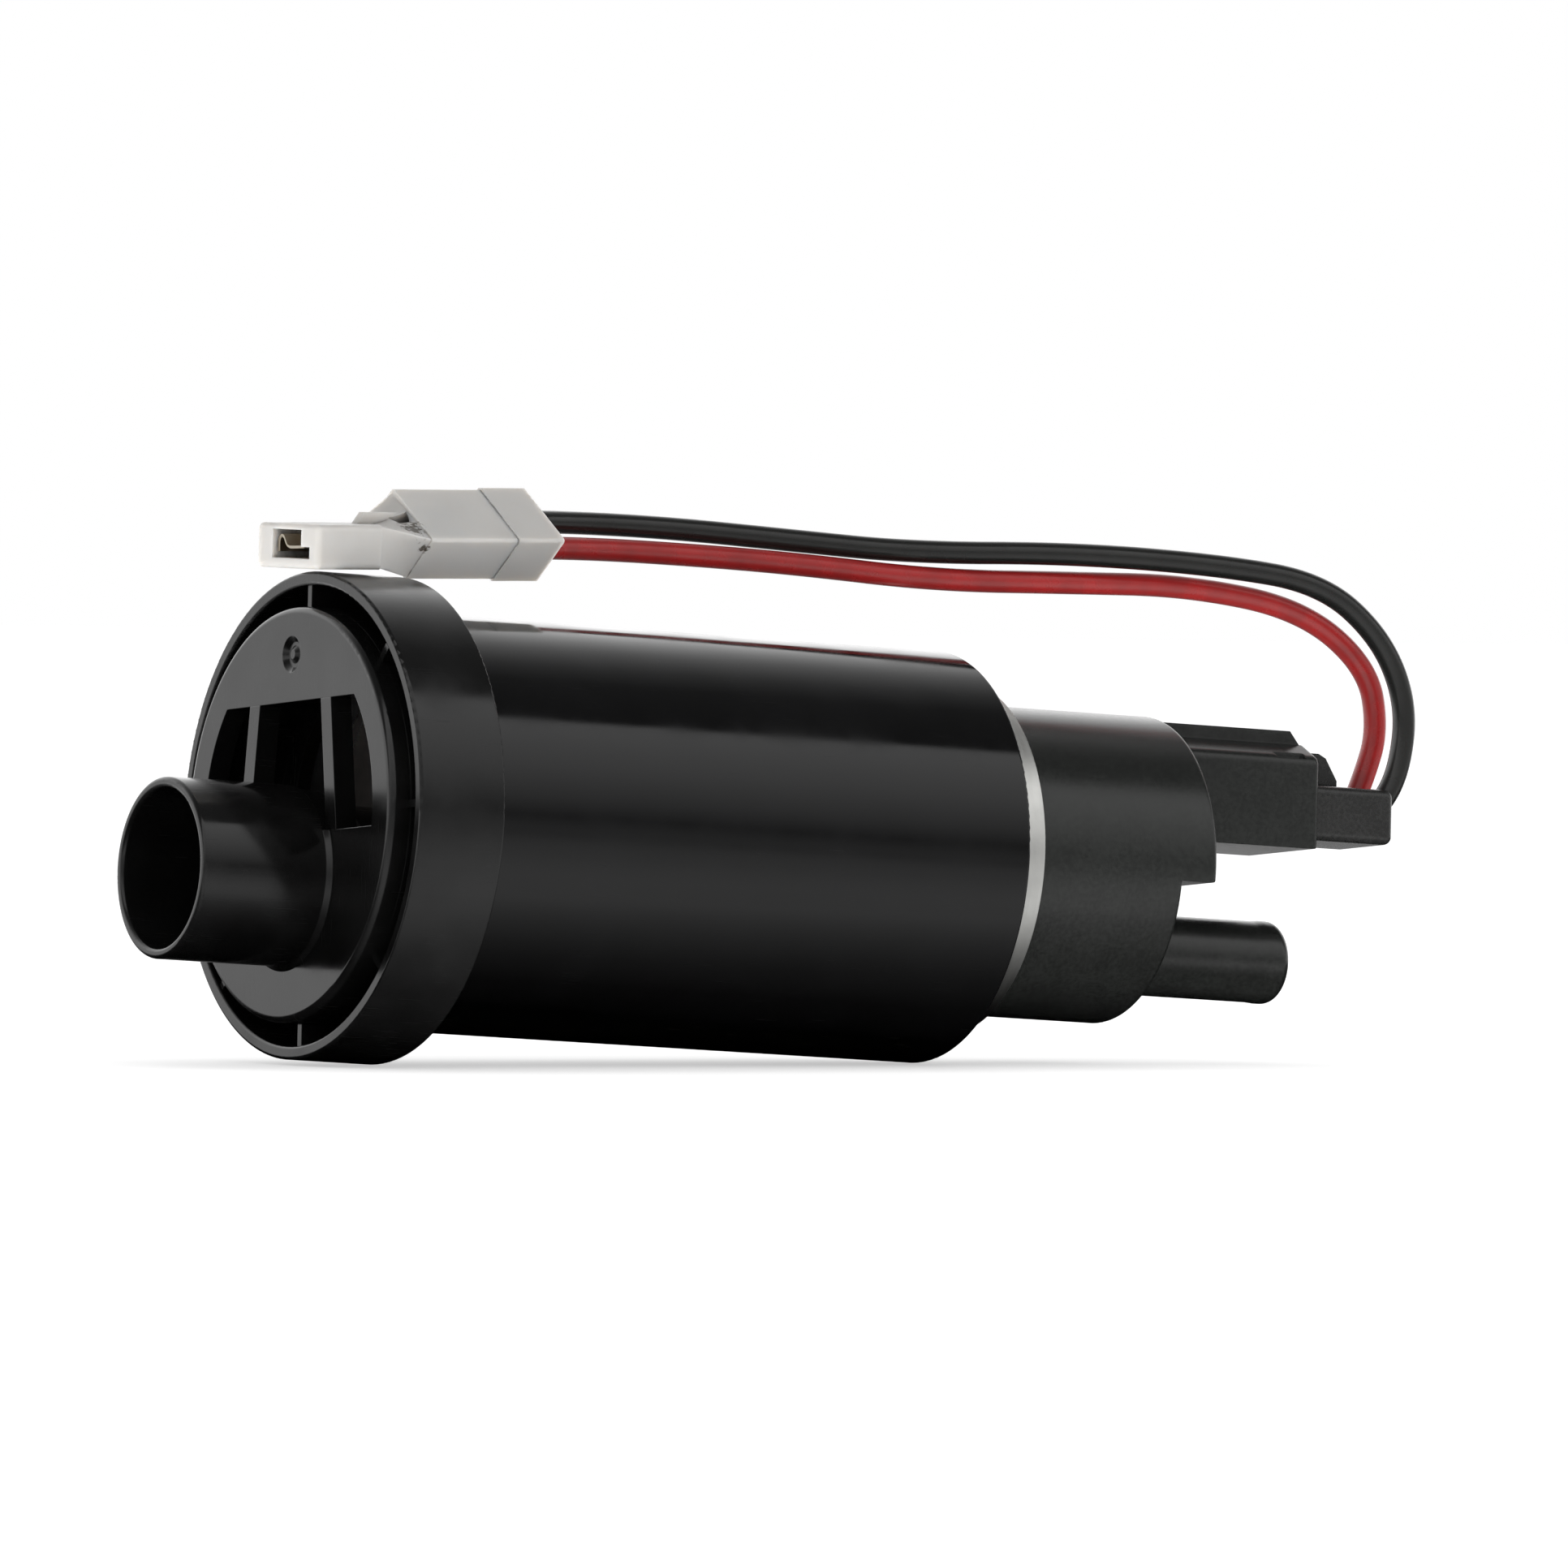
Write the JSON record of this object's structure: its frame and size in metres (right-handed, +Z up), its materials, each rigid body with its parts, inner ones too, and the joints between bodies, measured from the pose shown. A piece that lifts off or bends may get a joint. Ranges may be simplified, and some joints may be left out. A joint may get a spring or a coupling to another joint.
{
  "type": "electric fuel pump",
  "caption": "Round in-tank electric fuel pump with a wide inlet spigot, a flanged front, a slim outlet spigot and a plugged two-wire lead.",
  "frame": {"origin": "on the pump axis, in the plane of the flange's front ring face", "axes": "+X along the pump from inlet to outlet, +Z up through the electrical socket, +Y across"},
  "size_m": [0.1487, 0.0502, 0.0614],
  "materials": {
    "black_acetal": "glossy moulded",
    "black_acetal_sleeve": "glossy moulded",
    "aluminium_casing": "satin",
    "dark_phenolic": "matte",
    "hard_steel": "ground",
    "sintered_steel": "sintered",
    "bearing_bronze": "machined",
    "natural_plastic": "natural nylon",
    "lamination_steel": "laminated",
    "winding_copper": "enamelled wire",
    "segment_copper": "turned",
    "ferrite": "sintered ferrite",
    "brush_carbon": "pressed carbon",
    "spring_steel": "drawn wire",
    "black_cover": "fine textured",
    "tinned_brass": "tinned",
    "seal_rubber": "matte",
    "plug_black": "fine textured",
    "lead_black": "PVC insulation",
    "lead_red": "PVC insulation",
    "connector_white": "natural nylon"
  },
  "bodies": {
    "pump": {"inlet_cover": "black_acetal", "cover_skirt": "black_acetal", "window_bar_left": "black_acetal", "window_bar_right": "black_acetal", "inlet_tube": "black_acetal", "flange_ring": "black_acetal", "outer_sleeve": "black_acetal_sleeve", "motor_casing": "aluminium_casing", "pump_inlet_plate": "dark_phenolic", "thrust_button": "hard_steel", "pump_ring": "sintered_steel", "pump_base_plate": "sintered_steel", "front_bush": "bearing_bronze", "flux_ring": "lamination_steel", "magnet_left": "ferrite", "magnet_right": "ferrite", "magnet_clip_upper": "natural_plastic", "magnet_clip_lower": "natural_plastic", "brush_holder": "dark_phenolic", "rear_bush": "bearing_bronze", "brush_spring_negative": "spring_steel", "brush_spring_positive": "spring_steel", "choke_negative": "ferrite", "choke_positive": "ferrite", "outlet_cover": "black_cover", "outlet_spigot": "black_cover", "connector_socket": "black_cover", "terminal_negative": "tinned_brass", "terminal_positive": "tinned_brass", "check_valve_seat": "bearing_bronze", "check_valve_spring": "spring_steel", "relief_valve_plug": "bearing_bronze", "relief_valve_spring": "spring_steel", "inlet_seal": "seal_rubber", "rubber_buffer": "seal_rubber"},
    "rotor": {"motor_shaft": "hard_steel", "armature_core": "lamination_steel", "armature_windings": "winding_copper", "commutator_hub": "dark_phenolic", "commutator_segments": "segment_copper", "thrust_washer": "natural_plastic", "drive_coupling": "natural_plastic", "gerotor_inner": "sintered_steel"},
    "gerotor_ring": {"gerotor_outer": "sintered_steel"},
    "brush_negative_block": {"brush_negative": "brush_carbon"},
    "brush_positive_block": {"brush_positive": "brush_carbon"},
    "check_valve": {"check_valve_poppet": "seal_rubber"},
    "relief_valve": {"relief_valve_ball": "hard_steel"},
    "harness": {"plug_housing": "plug_black", "plug_contact_negative": "tinned_brass", "plug_contact_positive": "tinned_brass", "black_lead": "lead_black", "red_lead": "lead_red", "connector_housing": "connector_white", "connector_rear_cap": "connector_white", "connector_mouth_contact": "tinned_brass", "connector_contact_black": "tinned_brass", "connector_contact_red": "tinned_brass"},
    "latch": {"plug_latch": "plug_black"}
  },
  "joints": [
    {"name": "rotor_spin", "type": "hinge", "parent": "pump", "child": "rotor", "pos_m": [0.045, 0, 0], "axis": [1, 0, 0], "continuous": true},
    {"name": "gerotor_ring_spin", "type": "hinge", "parent": "pump", "child": "gerotor_ring", "pos_m": [0.0243, 0.0009, 0], "axis": [1, 0, 0], "continuous": true},
    {"name": "brush_negative_slide", "type": "slide", "parent": "pump", "child": "brush_negative_block", "axis": [1, 0, 0], "range_m": [0, 0.0015], "stiffness_N_per_m": 300, "springref_m": -0.004, "deforming": ["brush_spring_negative"]},
    {"name": "brush_positive_slide", "type": "slide", "parent": "pump", "child": "brush_positive_block", "axis": [1, 0, 0], "range_m": [0, 0.0015], "stiffness_N_per_m": 300, "springref_m": -0.004, "deforming": ["brush_spring_positive"]},
    {"name": "check_valve_slide", "type": "slide", "parent": "pump", "child": "check_valve", "axis": [1, 0, 0], "range_m": [0, 0.002], "stiffness_N_per_m": 100, "springref_m": -0.003, "deforming": ["check_valve_spring"]},
    {"name": "relief_valve_slide", "type": "slide", "parent": "pump", "child": "relief_valve", "axis": [1, 0, 0], "range_m": [0, 0.001], "stiffness_N_per_m": 300, "springref_m": -0.005, "deforming": ["relief_valve_spring"]},
    {"name": "plug_pull", "type": "slide", "parent": "pump", "child": "harness", "axis": [1, 0, 0], "range_m": [0, 0.012]},
    {"name": "latch_press", "type": "hinge", "parent": "harness", "child": "latch", "pos_m": [0.1064, 0, 0.0115], "axis": [0, 1, 0], "range_deg": [0, 4], "stiffness_Nm_per_rad": 0.05}
  ],
  "couplings": [
    {"joint": "gerotor_ring_spin", "follows": "rotor_spin", "ratio": 0.85714}
  ]
}
